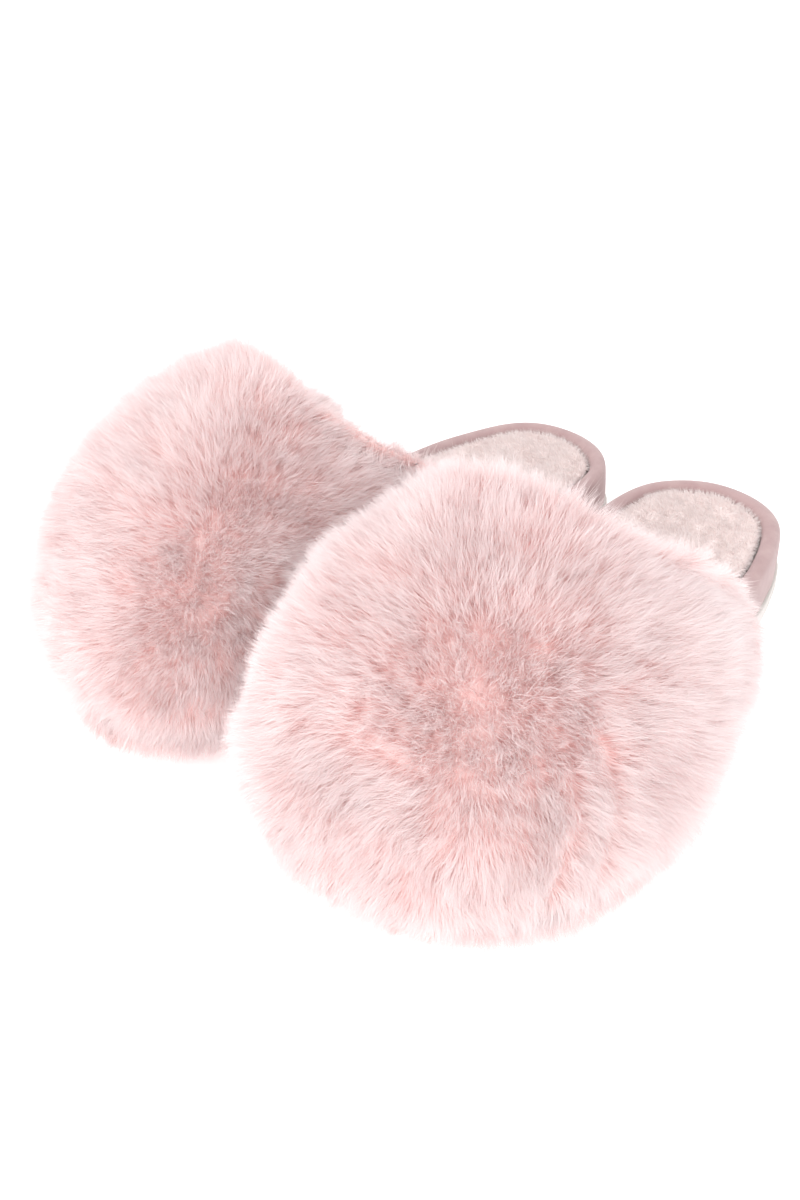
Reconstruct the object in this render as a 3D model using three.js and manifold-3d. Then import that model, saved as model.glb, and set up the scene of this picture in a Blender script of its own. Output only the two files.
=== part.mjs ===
// A pair of backless slippers (mules) with a faux-fur vamp, in millimetres, +Z up.
// Both toes point along -Y. The left slipper is at +X and the right one, its mirror image, at -X.
// One slipper is drawn in its own frame: x runs to the outer side of the foot, the toe is at -y,
// and z = 0 is the ground. From the ground up it holds the outsole, midsole, insole board,
// memory foam and plush footbed, with the padded rim round the heel and the vamp over the toes.
import * as THREE from "three";
import { mergeVertices } from "three/addons/utils/BufferGeometryUtils.js";
import Module from "manifold-3d";

const wasm = await Module();
wasm.setup();

// How the two slippers lie: the spacing of their middles, and the turn of each, toes apart
const PAIR_SPACING_X = 113;
const PAIR_SPACING_Y = 4;
const PAIR_YAW = 0.168;

// Sole, seen from above
const SOLE_LENGTH = 250;
const BALL_WIDTH = 97;
const WAIST_WIDTH = 78;
const HEEL_WIDTH = 75;
const BALL_FROM_TOE = 76;
const HEEL_FROM_END = 40;

// Layers of the sole, from the ground up, the gap between any two pieces, and the wider gap
// between the layers and the straight-sided steps of the wall round them
const CLEARANCE = 0.3;
const CORE_CLEARANCE = 0.9;
const OUTSOLE_THICKNESS = 5;
const OUTSOLE_BEVEL = 1;
const MIDSOLE_THICKNESS = 5;
const BOARD_THICKNESS = 1.4;
const FOAM_THICKNESS = 4.4;
const PLUSH_THICKNESS = 5.2;

// Tread grooves under the outsole, in two fields
const TREAD_DEPTH = 1.6;
const TREAD_WIDTH = 3.4;
const TREAD_PITCH = 20;
const TREAD_WAVE = 5;
const TREAD_MARGIN = 10;
const TREAD_FROM_TOE = 30;
const TREAD_FROM_END = 26;
const TREAD_ROWS_FRONT = 5;
const TREAD_ROWS_HEEL = 3;

// Lockstitch round the outsole's edge, in a channel in its upper face
const THREAD_RADIUS = 0.6;
const STITCH_INSET = 4.2;

// Padded rim round the heel
const RIM_TOP = 24.5;
const RIM_WIDTH = 7.6;
const RIM_INSET = 0.5;
const BINDING_THICKNESS = 1.2;
const BINDING_FOOT = 12;

// Skin of the vamp: the inner face of its lining, and the layers laid on it
const VAMP_INSET = 9;
const LINING_THICKNESS = 2.5;
const INTERLINING_THICKNESS = 3;
const THROAT_Y = -22;
const THROAT_HEIGHT = 70;
const CORNER_Y = 22;
const CORNER_HEIGHT = 34;

// Outer envelope of the vamp's pile
const PILE_HALF_WIDTH = 73;
const PILE_TAPER_PER_MM = 0.0028;
const PILE_TOE_REACH = 8;
const PILE_NOSE_LENGTH = 90;
const PILE_NOSE_POWER = 2.5;
const PILE_TOE_SKEW = 8;
const PILE_WIDEST_Z = 19;
const PILE_TUCK = 0.35;
const PILE_THROAT_Y = -26;
const PILE_THROAT_HEIGHT = 109;
const PILE_CORNER_X = 41;
const PILE_CORNER_Y = 33;
const PILE_CORNER_HEIGHT = 49;
const PILE_ROLL = 6;

// How far the pile leans at LEAN_HEIGHT: to the foot's outer side, and to the heel
const LEAN_HEIGHT = 100;
const LEFT_LEAN = [-4, -3];
const RIGHT_LEAN = [12, 4];

// Roundness of the throat seen from above, of its arch, and of the dome's profile inwards and up
const THROAT_POWER = 1.42;
const ARCH_POWER = 0.8;
const DOME_POWER_IN = 1.1;
const DOME_POWER_UP = 0.98;

// Topline tape: its reach below the throat, and the most of the skin's last step it may cover
const TAPE_THICKNESS = 1.2;
const TAPE_REACH = 9;
const TAPE_STEP_SHARE = 0.9;

// Mesh steps
const OUTLINE_STEPS = 56;
const ROUND_STEPS = 24;
const RISE_STEPS = 7;
const RIM_STEPS = 24;
const THREAD_STEPS = 44;
const THREAD_SIDES = 5;
const RIM_ARCH_STEPS = 5;

// Heights that follow
const MIDSOLE_Z = OUTSOLE_THICKNESS + CLEARANCE;
const BOARD_Z = MIDSOLE_Z + MIDSOLE_THICKNESS + CLEARANCE;
const FOAM_Z = BOARD_Z + BOARD_THICKNESS + CLEARANCE;
const PLUSH_Z = FOAM_Z + FOAM_THICKNESS + CLEARANCE;
const FOOTBED_TOP = PLUSH_Z + PLUSH_THICKNESS;

// ---- The sole's outline ----

// The outline as a smooth closed curve: x to the outer side, y to the heel.
function soleCurve() {
  const toe = -SOLE_LENGTH / 2;
  const end = SOLE_LENGTH / 2;
  const ball = toe + BALL_FROM_TOE;
  const heel = end - HEEL_FROM_END;
  const waist = (ball + heel) / 2;
  const outerShare = 0.52;
  const innerShare = 1 - outerShare;
  const points = [
    [-0.05 * BALL_WIDTH, toe],
    [0.27 * BALL_WIDTH, toe + 0.15 * BALL_FROM_TOE],
    [0.46 * BALL_WIDTH, toe + 0.5 * BALL_FROM_TOE],
    [outerShare * BALL_WIDTH, ball],
    [outerShare * WAIST_WIDTH, waist],
    [0.5 * HEEL_WIDTH, heel],
    [0.36 * HEEL_WIDTH, end - 0.27 * HEEL_FROM_END],
    [0, end],
    [-0.36 * HEEL_WIDTH, end - 0.27 * HEEL_FROM_END],
    [-0.5 * HEEL_WIDTH, heel],
    [-innerShare * WAIST_WIDTH, waist],
    [-innerShare * BALL_WIDTH, ball],
    [-0.44 * BALL_WIDTH, toe + 0.45 * BALL_FROM_TOE],
    [-0.31 * BALL_WIDTH, toe + 0.11 * BALL_FROM_TOE],
  ];
  const corners = points.map(([x, y]) => new THREE.Vector3(x, y, 0));
  return new THREE.CatmullRomCurve3(corners, true, "centripetal");
}

const SOLE_CURVE = soleCurve();
SOLE_CURVE.arcLengthDivisions = 800;

// The point at a share of the way round, moved inwards by inset.
function soleEdge(share, inset) {
  const around = ((share % 1) + 1) % 1;
  const point = SOLE_CURVE.getPointAt(around);
  const along = SOLE_CURVE.getTangentAt(around);
  return new THREE.Vector2(point.x - along.y * inset, point.y + along.x * inset);
}

// The share of the way round at which the outline passes y, between two shares.
function shareAt(y, from, to) {
  let low = from;
  let high = to;
  const rising = soleEdge(from, 0).y < soleEdge(to, 0).y;
  for (let i = 0; i < 40; i++) {
    const middle = (low + high) / 2;
    if (soleEdge(middle, 0).y < y === rising) low = middle;
    else high = middle;
  }
  return low;
}

// The share at the end of the heel, with the outer side before it and the inner side after it
const HEEL_END_SHARE = 0.52;
const OUTER_CORNER = shareAt(CORNER_Y, 0, HEEL_END_SHARE);
const INNER_CORNER = shareAt(CORNER_Y, HEEL_END_SHARE, 1);

// Round the toe, from the outer corner (0) to the inner corner (1).
function toeEdge(along, inset) {
  const start = OUTER_CORNER;
  const end = INNER_CORNER - 1;
  return soleEdge(THREE.MathUtils.lerp(start, end, along), inset);
}

// Round the heel, from the outer corner (0) to the inner corner (1), clear of the vamp's ends.
function heelEdge(along, inset) {
  const gap = CLEARANCE / SOLE_CURVE.getLength();
  const start = OUTER_CORNER + gap;
  const end = INNER_CORNER - gap;
  return soleEdge(THREE.MathUtils.lerp(start, end, along), inset);
}

// ---- Solids ----

// A closed geometry with shared corners, no empty triangles and its faces pointing out.
function facingOut(geometry) {
  const bare = geometry.clone();
  bare.deleteAttribute("normal");
  bare.deleteAttribute("uv");
  const merged = mergeVertices(bare, 1e-3);
  const old = merged.index.array;
  const at = merged.getAttribute("position");
  const kept = [];
  let volume = 0;
  const a = new THREE.Vector3();
  const b = new THREE.Vector3();
  const c = new THREE.Vector3();
  for (let i = 0; i < old.length; i += 3) {
    const [p, q, r] = [old[i], old[i + 1], old[i + 2]];
    if (p === q || q === r || r === p) continue;
    kept.push(p, q, r);
    a.fromBufferAttribute(at, p);
    b.fromBufferAttribute(at, q);
    c.fromBufferAttribute(at, r);
    volume += a.dot(b.cross(c));
  }
  if (volume < 0) kept.reverse();
  merged.setIndex(kept);
  return merged;
}

// Every corner of a geometry moved by a rule that turns (x, y, z) into a new point.
function reshaped(geometry, rule) {
  const at = geometry.getAttribute("position");
  for (let i = 0; i < at.count; i++) {
    const p = rule(at.getX(i), at.getY(i), at.getZ(i));
    at.setXYZ(i, p.x, p.y, p.z);
  }
  return facingOut(geometry);
}

function toManifold(geometry) {
  const solid = facingOut(geometry);
  return new wasm.Manifold(
    new wasm.Mesh({
      numProp: 3,
      vertProperties: new Float32Array(solid.getAttribute("position").array),
      triVerts: new Uint32Array(solid.index.array),
    }),
  );
}

function toGeometry(manifold) {
  const mesh = manifold.getMesh();
  const geometry = new THREE.BufferGeometry();
  geometry.setAttribute("position", new THREE.BufferAttribute(mesh.vertProperties, 3));
  geometry.setIndex(new THREE.BufferAttribute(mesh.triVerts, 1));
  return geometry;
}

// A flat layer of the sole: the outline moved in by inset, from height z up.
function soleLayer(inset, z, thickness, bevel = 0) {
  const outline = [];
  for (let i = 0; i < OUTLINE_STEPS; i++) outline.push(soleEdge(i / OUTLINE_STEPS, inset + bevel));
  const layer = new THREE.ExtrudeGeometry(new THREE.Shape(outline), {
    depth: thickness - 2 * bevel,
    bevelEnabled: bevel > 0,
    bevelThickness: bevel,
    bevelSize: bevel,
    bevelSegments: 1,
  });
  layer.translate(0, 0, z + bevel);
  return facingOut(layer);
}

// A bar of a given section, (outward, up) from its path, bent along an edge of the sole.
function bentBar(section, steps, edge) {
  const bar = new THREE.ExtrudeGeometry(new THREE.Shape(section), {
    depth: 1,
    steps,
    bevelEnabled: false,
  });
  return reshaped(bar, (outward, up, along) => {
    const p = edge(along, -outward);
    return new THREE.Vector3(p.x, p.y, up);
  });
}

// ---- Pieces of the sole ----

// The radius of the ring that is bent to the sole's outline; only its turn round the axis counts.
const RING_RADIUS = 100;

function stitchRing(radius, sides, z) {
  const ring = new THREE.TorusGeometry(RING_RADIUS, radius, sides, THREAD_STEPS);
  return reshaped(ring, (x, y, up) => {
    const turn = Math.atan2(y, x) / (2 * Math.PI);
    const outward = Math.hypot(x, y) - RING_RADIUS;
    const p = soleEdge(turn, STITCH_INSET - outward);
    return new THREE.Vector3(p.x, p.y, up + z);
  });
}

const THREAD_Z = OUTSOLE_THICKNESS - THREAD_RADIUS - CLEARANCE;

function stitchThread() {
  return stitchRing(THREAD_RADIUS, THREAD_SIDES, THREAD_Z);
}

// The channel is a square ring, wide enough for the thread and open at the top.
function stitchChannel() {
  const halfWidth = THREAD_RADIUS + CLEARANCE;
  const section = [
    [-halfWidth, THREAD_Z - halfWidth],
    [halfWidth, THREAD_Z - halfWidth],
    [halfWidth, OUTSOLE_THICKNESS + 1],
    [-halfWidth, OUTSOLE_THICKNESS + 1],
    [-halfWidth, THREAD_Z - halfWidth],
  ].map(([outward, up]) => new THREE.Vector2(RING_RADIUS + outward, up));
  const ring = new THREE.LatheGeometry(section, THREAD_STEPS);
  return reshaped(ring, (x, up, y) => {
    const turn = Math.atan2(y, x) / (2 * Math.PI);
    const outward = Math.hypot(x, y) - RING_RADIUS;
    const p = soleEdge(turn, STITCH_INSET - outward);
    return new THREE.Vector3(p.x, p.y, up);
  });
}

// One wavy groove across the sole at y, ending a margin short of both edges.
function treadGroove(y) {
  const right = soleEdge(shareAt(y, 0, HEEL_END_SHARE), 0).x - TREAD_MARGIN;
  const left = soleEdge(shareAt(y, HEEL_END_SHARE, 1), 0).x + TREAD_MARGIN;
  const bends = 4;
  const front = [];
  const back = [];
  for (let i = 0; i <= bends; i++) {
    const x = THREE.MathUtils.lerp(left, right, i / bends);
    const wave = i % 2 ? TREAD_WAVE / 2 : -TREAD_WAVE / 2;
    front.push(new THREE.Vector2(x, y + wave - TREAD_WIDTH / 2));
    back.unshift(new THREE.Vector2(x, y + wave + TREAD_WIDTH / 2));
  }
  const groove = new THREE.ExtrudeGeometry(new THREE.Shape([...front, ...back]), {
    depth: TREAD_DEPTH + 1,
    bevelEnabled: false,
  });
  groove.translate(0, 0, -1);
  return groove;
}

function outsole() {
  let solid = toManifold(soleLayer(0, 0, OUTSOLE_THICKNESS, OUTSOLE_BEVEL));
  const frontRow = -SOLE_LENGTH / 2 + TREAD_FROM_TOE;
  for (let i = 0; i < TREAD_ROWS_FRONT; i++) {
    solid = solid.subtract(toManifold(treadGroove(frontRow + i * TREAD_PITCH)));
  }
  const heelRow = SOLE_LENGTH / 2 - TREAD_FROM_END;
  for (let i = 0; i < TREAD_ROWS_HEEL; i++) {
    solid = solid.subtract(toManifold(treadGroove(heelRow - i * TREAD_PITCH)));
  }
  solid = solid.subtract(toManifold(stitchChannel()));
  return toGeometry(solid);
}

const CORE_INSET = Math.max(VAMP_INSET, RIM_INSET + RIM_WIDTH) + CORE_CLEARANCE;

// ---- Rim round the heel ----

// An arch over the rim: straight legs and a round top. Each leg has its own lower end.
function archSection(inset, width, top, outerFoot, innerFoot, steps) {
  const radius = width / 2;
  const middle = -(inset + radius);
  const points = [new THREE.Vector2(middle + radius, outerFoot)];
  for (let i = 0; i <= steps; i++) {
    const angle = (Math.PI * i) / steps;
    const outward = middle + radius * Math.cos(angle);
    points.push(new THREE.Vector2(outward, top - radius + radius * Math.sin(angle)));
  }
  points.push(new THREE.Vector2(middle - radius, innerFoot));
  return points;
}

function heelBinding() {
  const thickness = BINDING_THICKNESS;
  const outside = archSection(RIM_INSET, RIM_WIDTH, RIM_TOP, MIDSOLE_Z, BINDING_FOOT, RIM_ARCH_STEPS);
  const inside = archSection(
    RIM_INSET + thickness,
    RIM_WIDTH - 2 * thickness,
    RIM_TOP - thickness,
    MIDSOLE_Z,
    BINDING_FOOT,
    RIM_ARCH_STEPS,
  );
  return bentBar([...outside, ...inside.reverse()], RIM_STEPS, heelEdge);
}

function heelRimFoam() {
  const inset = RIM_INSET + BINDING_THICKNESS + CLEARANCE;
  const width = RIM_WIDTH - 2 * (BINDING_THICKNESS + CLEARANCE);
  const top = RIM_TOP - BINDING_THICKNESS - CLEARANCE;
  const section = archSection(inset, width, top, MIDSOLE_Z, MIDSOLE_Z, RIM_ARCH_STEPS);
  return bentBar(section, RIM_STEPS, heelEdge);
}

// ---- Vamp ----

// A vamp surface is a fan: round goes from the outer corner (0) over the toe to the inner
// corner (1), and rise from the sole's edge (0) up to the throat (1). The first of the
// RISE_STEPS is the wall below the dome.
const WALL_SHARE = 1 / RISE_STEPS;

// The throat's edge over one point of the sole's edge.
function throatPoint(round, cornerX, cornerY, cornerZ, middleY, middleZ) {
  const arch = Math.sin(Math.PI * round);
  const side = Math.cos(Math.PI * round);
  return new THREE.Vector3(
    cornerX * Math.sign(side) * Math.abs(side) ** ARCH_POWER,
    middleY + (cornerY - middleY) * (1 - arch) ** THROAT_POWER,
    cornerZ + (middleZ - cornerZ) * arch ** ARCH_POWER,
  );
}

// A point on the dome's profile from a base point up to a throat point.
function domePoint(base, throat, rise) {
  const angle = (Math.max(0, rise - WALL_SHARE) / (1 - WALL_SHARE)) * (Math.PI / 2);
  const inwards = 1 - Math.cos(angle) ** DOME_POWER_IN;
  const upwards = Math.sin(angle) ** DOME_POWER_UP;
  return new THREE.Vector3(
    THREE.MathUtils.lerp(base.x, throat.x, inwards),
    THREE.MathUtils.lerp(base.y, throat.y, inwards),
    THREE.MathUtils.lerp(base.z, throat.z, upwards),
  );
}

// The skin at a given depth outside the lining's inner face.
function skinPoint(round, rise, depth) {
  const edge = toeEdge(round, VAMP_INSET - depth);
  const corner = toeEdge(round < 0.5 ? 0 : 1, VAMP_INSET - depth);
  const throat = throatPoint(
    round,
    Math.abs(corner.x),
    CORNER_Y,
    CORNER_HEIGHT + depth,
    THROAT_Y,
    THROAT_HEIGHT + depth,
  );
  if (rise < WALL_SHARE / 2) return new THREE.Vector3(edge.x, edge.y, MIDSOLE_Z);
  return domePoint(new THREE.Vector3(edge.x, edge.y, FOOTBED_TOP), throat, rise);
}

// The pile's outer envelope, which leans a little as it stands higher.
function pilePoint(round, rise, lean) {
  const arch = Math.sin(Math.PI * round);
  const side = Math.sign(0.5 - round);
  const toe = -SOLE_LENGTH / 2 - PILE_TOE_REACH;
  const fromToe = (PILE_CORNER_Y - toe) * (1 - arch);
  const nose = 1 - Math.min(fromToe / PILE_NOSE_LENGTH, 1);
  const noseShare = (1 - nose ** PILE_NOSE_POWER) ** (1 / PILE_NOSE_POWER);
  const taper = 1 - PILE_TAPER_PER_MM * Math.max(0, fromToe - PILE_NOSE_LENGTH);
  const halfWidth = PILE_HALF_WIDTH * noseShare * taper;
  const skewed = side * halfWidth - PILE_TOE_SKEW * nose;
  const base = new THREE.Vector3(skewed, toe + fromToe, PILE_WIDEST_Z);
  if (rise < WALL_SHARE / 2) {
    base.lerp(skinPoint(round, 0, FUR_DEPTH), PILE_TUCK);
    base.z = MIDSOLE_Z;
    return base;
  }
  const throat = throatPoint(
    round,
    PILE_CORNER_X,
    PILE_CORNER_Y,
    PILE_CORNER_HEIGHT,
    PILE_THROAT_Y,
    PILE_THROAT_HEIGHT,
  );
  const point = domePoint(base, throat, rise);
  point.x += (lean[0] * point.z) / LEAN_HEIGHT;
  point.y += (lean[1] * point.z) / LEAN_HEIGHT;
  return point;
}

// A unit box whose corners are read as (round, rise, depth), each from 0 to 1.
function vampSolid(depthSteps, rule) {
  const box = new THREE.BoxGeometry(1, 1, 1, ROUND_STEPS, RISE_STEPS, depthSteps);
  return reshaped(box, (x, y, z) => rule(x + 0.5, y + 0.5, z + 0.5));
}

function skinLayer(depth, thickness) {
  return vampSolid(1, (round, rise, share) => skinPoint(round, rise, depth + share * thickness));
}

const INTERLINING_DEPTH = LINING_THICKNESS + CLEARANCE;
const SKIN_DEPTH = INTERLINING_DEPTH + INTERLINING_THICKNESS;
const FUR_DEPTH = SKIN_DEPTH + CLEARANCE;

// The fur upper fills the room from the skin out to the pile's envelope. Between the two its
// corner faces step clear of the heel binding, and its throat edge rolls back over the opening.
function furUpper(lean) {
  const clearDepth = VAMP_INSET - RIM_INSET + 2 * CLEARANCE;
  return vampSolid(2, (round, rise, share) => {
    if (share < 0.25) return skinPoint(round, rise, FUR_DEPTH);
    if (share > 0.75) return pilePoint(round, rise, lean);
    if (rise < 1 - WALL_SHARE / 2) return skinPoint(round, rise, clearDepth);
    const rolled = pilePoint(round, rise, lean);
    const roll = PILE_ROLL * Math.sin(Math.PI * round);
    rolled.y += roll;
    rolled.z -= roll;
    return rolled;
  });
}

// The tape is folded over the throat edge of the lining and interlining. Its section is an
// angle, (depth, forward of the edge), laid on the last step of the skin below the throat.
function toplineTape() {
  const inner = -CLEARANCE - TAPE_THICKNESS;
  const behind = -CLEARANCE - TAPE_THICKNESS;
  const section = [
    [inner, TAPE_REACH],
    [inner, behind],
    [SKIN_DEPTH, behind],
    [SKIN_DEPTH, -CLEARANCE],
    [-CLEARANCE, -CLEARANCE],
    [-CLEARANCE, TAPE_REACH],
  ].map(([depth, forward]) => new THREE.Vector2(depth, forward));
  const bar = new THREE.ExtrudeGeometry(new THREE.Shape(section), {
    depth: 1,
    steps: ROUND_STEPS,
    bevelEnabled: false,
  });
  return reshaped(bar, (depth, forward, round) => {
    const top = skinPoint(round, 1, depth);
    const below = skinPoint(round, 1 - WALL_SHARE, depth);
    const step = below.sub(top);
    const reach = Math.min(forward, TAPE_STEP_SHARE * step.length());
    return top.addScaledVector(step.normalize(), reach);
  });
}

// ---- Assembly ----

const OFF_WHITE = 0xf0ece8;
const FOAM_CREAM = 0xf2e6c8;
const BOARD_TAN = 0xb9a386;
const PLUSH_PINK = 0xeadcd8;
const BINDING_MAUVE = 0xd3b5b5;
const FUR_PINK = 0xeccfd1;

// Where the two piles press together: a block over the mate's half of the ground, whose near
// face is square to the line between the middles of the two domes.
function matesHalf(side) {
  const domeY = PILE_THROAT_Y - PILE_NOSE_LENGTH / 2;
  const towardsMate = new THREE.Vector3(
    PAIR_SPACING_X / 2 - domeY * Math.sin(PAIR_YAW),
    PAIR_SPACING_Y / 2,
    0,
  );
  const reach = 2 * SOLE_LENGTH;
  const block = new THREE.BoxGeometry(reach, 2 * reach, reach);
  block.translate(reach / 2 - CLEARANCE, 0, 0);
  block.rotateZ(Math.atan2(-side * towardsMate.y, -side * towardsMate.x));
  return block;
}

// One slipper's pieces, all drawn for the left foot; side is -1 for the right foot's mirror image.
function slipper(prefix, side, lean) {
  const group = new THREE.Group();
  group.position.set((side * PAIR_SPACING_X) / 2, (side * PAIR_SPACING_Y) / 2, 0);
  group.rotation.z = side * PAIR_YAW;
  group.updateMatrix();
  function add(name, geometry, color, roughness) {
    const material = new THREE.MeshStandardMaterial({ color, roughness, metalness: 0 });
    const piece = new THREE.Mesh(facingOut(geometry.scale(side, 1, 1)), material);
    piece.name = prefix + "_" + name;
    group.add(piece);
  }
  add("outsole", outsole(), OFF_WHITE, 0.6);
  add("sole_stitch_thread", stitchThread(), OFF_WHITE, 0.8);
  add("midsole", soleLayer(CORE_INSET, MIDSOLE_Z, MIDSOLE_THICKNESS), OFF_WHITE, 0.9);
  add("insole_board", soleLayer(CORE_INSET, BOARD_Z, BOARD_THICKNESS), BOARD_TAN, 0.9);
  add("memory_foam", soleLayer(CORE_INSET, FOAM_Z, FOAM_THICKNESS), FOAM_CREAM, 0.95);
  add("footbed_plush", soleLayer(CORE_INSET, PLUSH_Z, PLUSH_THICKNESS), PLUSH_PINK, 1);
  add("heel_rim_foam", heelRimFoam(), FOAM_CREAM, 0.95);
  add("heel_binding", heelBinding(), BINDING_MAUVE, 0.8);
  add("upper_lining", skinLayer(0, LINING_THICKNESS), PLUSH_PINK, 1);
  add("upper_interlining", skinLayer(INTERLINING_DEPTH, INTERLINING_THICKNESS), FOAM_CREAM, 0.95);
  add("topline_tape", toplineTape(), BINDING_MAUVE, 0.8);
  const mate = matesHalf(side).applyMatrix4(group.matrix.clone().invert()).scale(side, 1, 1);
  const fur = toManifold(furUpper(lean)).subtract(toManifold(mate));
  add("fur_upper", toGeometry(fur), FUR_PINK, 1);
  return group;
}

// The part's origin is under the middle of the pair's own box, on the ground.
const pair = new THREE.Group();
pair.add(slipper("left", 1, LEFT_LEAN), slipper("right", -1, RIGHT_LEAN));
pair.updateMatrixWorld(true);
const middle = new THREE.Box3().setFromObject(pair, true).getCenter(new THREE.Vector3());
for (const one of pair.children) {
  one.position.x -= middle.x;
  one.position.y -= middle.y;
}

export default pair;
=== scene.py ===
# %% [markdown]
# # A pair of fluffy house slippers
# Two backless slippers lie side by side with their toes apart. Each has a domed vamp of long
# faux fur, a short plush footbed, a padded velour rim round the heel and a flat rubber sole.
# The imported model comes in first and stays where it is: it fixes every size and place, and all
# that is made here grows on it. Its hard and hidden pieces stay and only get a finish. Its soft
# pieces are plain solids, so each of them is replaced by a finer one.

# %% Load the frame
import math
import bmesh
import bpy
import numpy as np
from mathutils import Matrix, Vector
from mathutils.bvhtree import BVHTree


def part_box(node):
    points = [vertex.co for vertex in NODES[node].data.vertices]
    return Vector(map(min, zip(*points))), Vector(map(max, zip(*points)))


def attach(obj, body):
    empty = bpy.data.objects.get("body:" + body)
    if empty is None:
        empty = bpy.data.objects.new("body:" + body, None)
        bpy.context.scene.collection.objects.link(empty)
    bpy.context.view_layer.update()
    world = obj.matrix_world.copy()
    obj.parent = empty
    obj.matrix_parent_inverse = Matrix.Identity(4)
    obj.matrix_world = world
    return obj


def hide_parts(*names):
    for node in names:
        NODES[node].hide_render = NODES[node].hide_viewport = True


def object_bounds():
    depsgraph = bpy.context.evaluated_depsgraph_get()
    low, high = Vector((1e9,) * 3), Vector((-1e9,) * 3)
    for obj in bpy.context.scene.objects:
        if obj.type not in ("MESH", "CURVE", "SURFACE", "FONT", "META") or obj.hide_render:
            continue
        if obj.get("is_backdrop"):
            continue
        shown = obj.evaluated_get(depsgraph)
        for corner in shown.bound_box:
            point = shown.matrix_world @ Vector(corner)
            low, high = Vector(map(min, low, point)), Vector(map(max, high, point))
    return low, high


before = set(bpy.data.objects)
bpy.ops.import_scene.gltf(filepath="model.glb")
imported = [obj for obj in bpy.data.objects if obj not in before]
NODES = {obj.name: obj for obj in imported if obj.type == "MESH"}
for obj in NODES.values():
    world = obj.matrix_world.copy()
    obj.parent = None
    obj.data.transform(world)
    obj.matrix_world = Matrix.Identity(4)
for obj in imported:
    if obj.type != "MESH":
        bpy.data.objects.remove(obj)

MM = 0.001
CAD_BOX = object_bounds()
SIDES = {"left": 1, "right": -1}
print("CAD box, mm:", [round(x / MM, 1) for corner in CAD_BOX for x in corner])

# %% [markdown]
# Each slipper is turned a little, so patterns such as the lie of the pile are easier to say in
# the slipper's own frame: x runs to the foot's outer side, y from toe to heel, z up. The frame
# is found from the sole itself: turned back by the yaw and mirrored for the right foot, its
# middle is the origin.

# %% The slippers' own frames
YAW = 0.168

def slipper_frame(prefix):
    """The matrix from a slipper's own frame to the row's frame."""
    side = SIDES[prefix]
    turn = Matrix.Rotation(side * YAW, 4, "Z") @ Matrix.Diagonal((side, 1, 1, 1))
    back = turn.inverted()
    sole = np.array([back @ v.co for v in NODES[prefix + "_outsole"].data.vertices])
    middle = (sole.min(0) + sole.max(0)) / 2
    return Matrix.Translation(turn @ Vector((middle[0], middle[1], 0))) @ turn

OWN = {prefix: slipper_frame(prefix) for prefix in SIDES}
for prefix, own in OWN.items():
    print(prefix, "origin, mm:", [round(x / MM, 2) for x in own.translation])

def to_row(prefix, points):
    """Points of a slipper's own frame in the row's frame."""
    m = np.array(OWN[prefix])
    return points @ m[:3, :3].T + m[:3, 3]

def to_own(prefix, points):
    """Points of the row's frame in a slipper's own frame."""
    m = np.array(OWN[prefix].inverted())
    return points @ m[:3, :3].T + m[:3, 3]

# %% [markdown]
# The camera looks down on the toes from the left foot's outer side, close by, so the near
# slipper looks larger.

# %% Camera
CAMERA_TARGET = Vector((0.0093, -0.0319, 0.040))
CAMERA_AZIMUTH = 0.835
CAMERA_ELEVATION = 0.631
CAMERA_ROLL = -0.070
CAMERA_DISTANCE = 0.4414
CAMERA_LENS = 37.8

def add_camera():
    """The scene's camera, aimed at its target from the side. Gives the way back to it."""
    data = bpy.data.cameras.new("camera")
    data.lens = CAMERA_LENS
    data.clip_start = 0.01
    camera = bpy.data.objects.new("camera", data)
    bpy.context.scene.collection.objects.link(camera)
    level = math.cos(CAMERA_ELEVATION)
    back = Vector((
        math.sin(CAMERA_AZIMUTH) * level,
        -math.cos(CAMERA_AZIMUTH) * level,
        math.sin(CAMERA_ELEVATION),
    ))
    right = Vector((0, 0, 1)).cross(back).normalized()
    up = back.cross(right)
    turned = Matrix((right, up, back)).transposed().to_4x4()
    roll = Matrix.Rotation(CAMERA_ROLL, 4, "Z")
    camera.matrix_world = Matrix.Translation(CAMERA_TARGET + back * CAMERA_DISTANCE) @ turned @ roll
    bpy.context.scene.camera = camera
    return back

CAMERA_BACK = add_camera()
print("camera looks along", [round(-x, 3) for x in CAMERA_BACK])

# %% [markdown]
# The light is a studio's light tent. White walls all round give an even light, a large soft key
# lamp stands high behind on the left, a stronger one fills the fronts from beside the camera,
# and a weak one low on the left keeps the side between the slippers from going dull. Pale fur
# passes much of its light on from hair to hair, so light may bounce many times.

# %% Light
LAMP_AIM = (0, 0, 0.05)
LAMP_SIZE = 0.9

bpy.context.scene.view_settings.view_transform = "Standard"
bpy.context.scene.cycles.diffuse_bounces = 8

def add_world(strength):
    """An even white world."""
    world = bpy.data.worlds.new("light_tent")
    bpy.context.scene.world = world
    world.use_nodes = True
    background = world.node_tree.nodes["Background"]
    background.inputs["Color"].default_value = (1, 1, 1, 1)
    background.inputs["Strength"].default_value = strength

def add_lamp(name, place, power):
    """A round soft lamp that points at the slippers."""
    data = bpy.data.lights.new(name, "AREA")
    data.shape = "DISK"
    data.size = LAMP_SIZE
    data.energy = power
    lamp = bpy.data.objects.new(name, data)
    bpy.context.scene.collection.objects.link(lamp)
    lamp.location = place
    lamp.rotation_euler = (Vector(LAMP_AIM) - Vector(place)).to_track_quat("-Z", "Y").to_euler()

add_world(1.05)
add_lamp("key_lamp", (-0.7, -0.1, 1.2), 5.5)
add_lamp("fill_lamp", (0.9, -0.95, 0.8), 9)
add_lamp("side_lamp", (-0.6, -1.1, 0.6), 2)

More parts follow.
